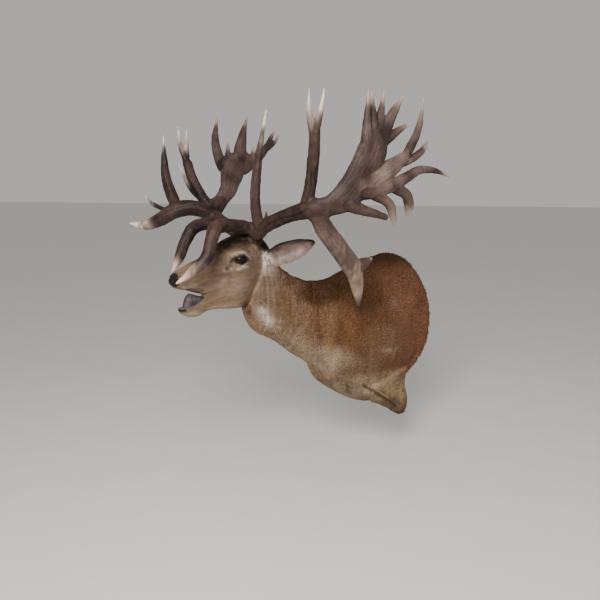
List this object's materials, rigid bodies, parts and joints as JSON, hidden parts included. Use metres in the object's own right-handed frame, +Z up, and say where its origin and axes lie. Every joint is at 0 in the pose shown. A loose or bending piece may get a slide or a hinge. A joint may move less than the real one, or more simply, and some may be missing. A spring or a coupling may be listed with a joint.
{
  "type": "wall-mounted red deer stag head",
  "caption": "Red deer stag head and shoulder mount: open mouth, long neck, leg stubs and broad branching antlers, hung on a wall by the flat back board let into its shoulder.",
  "frame": {"origin": "a point on the back board's rear face, in the wall plane, where the stag's middle plane is 38 mm to the -X side", "axes": "+Y into the wall, -Y out of it towards the viewer, +Z up; the stag looks towards -X and out of the wall"},
  "size_m": [1.2577, 0.907, 1.3545],
  "materials": {
    "coat": "short rufous-brown hair, matte",
    "face_coat": "very short tan and grey-brown hair, matte",
    "nose_skin": "black bare skin, fine pebbled, slightly glossy",
    "tongue_skin": "grey-lavender, satin",
    "eye": "dark brown glass eye, polished",
    "antler": "stands for bone: grooved dark brown, worn ivory tips",
    "board": "plain varnished board"
  },
  "bodies": {
    "root": {"antler_left_back": "antler", "antler_left_bar": "antler", "antler_left_beam": "antler", "antler_left_bez": "antler", "antler_left_brow": "antler", "antler_left_down": "antler", "antler_left_palm": "antler", "antler_left_rear": "antler", "antler_left_trez": "antler", "antler_right_beam": "antler", "antler_right_brow": "antler", "antler_right_curve": "antler", "antler_right_palm": "antler", "antler_right_trez": "antler", "back_board": "board", "ear_left": "face_coat", "ear_right": "face_coat", "eye_left": "eye", "eye_right": "eye", "head": "face_coat", "leg_left": "coat", "leg_right": "coat", "lower_jaw": "face_coat", "neck": "coat", "nose": "nose_skin", "tongue": "tongue_skin", "trunk": "coat"}
  },
  "joints": []
}
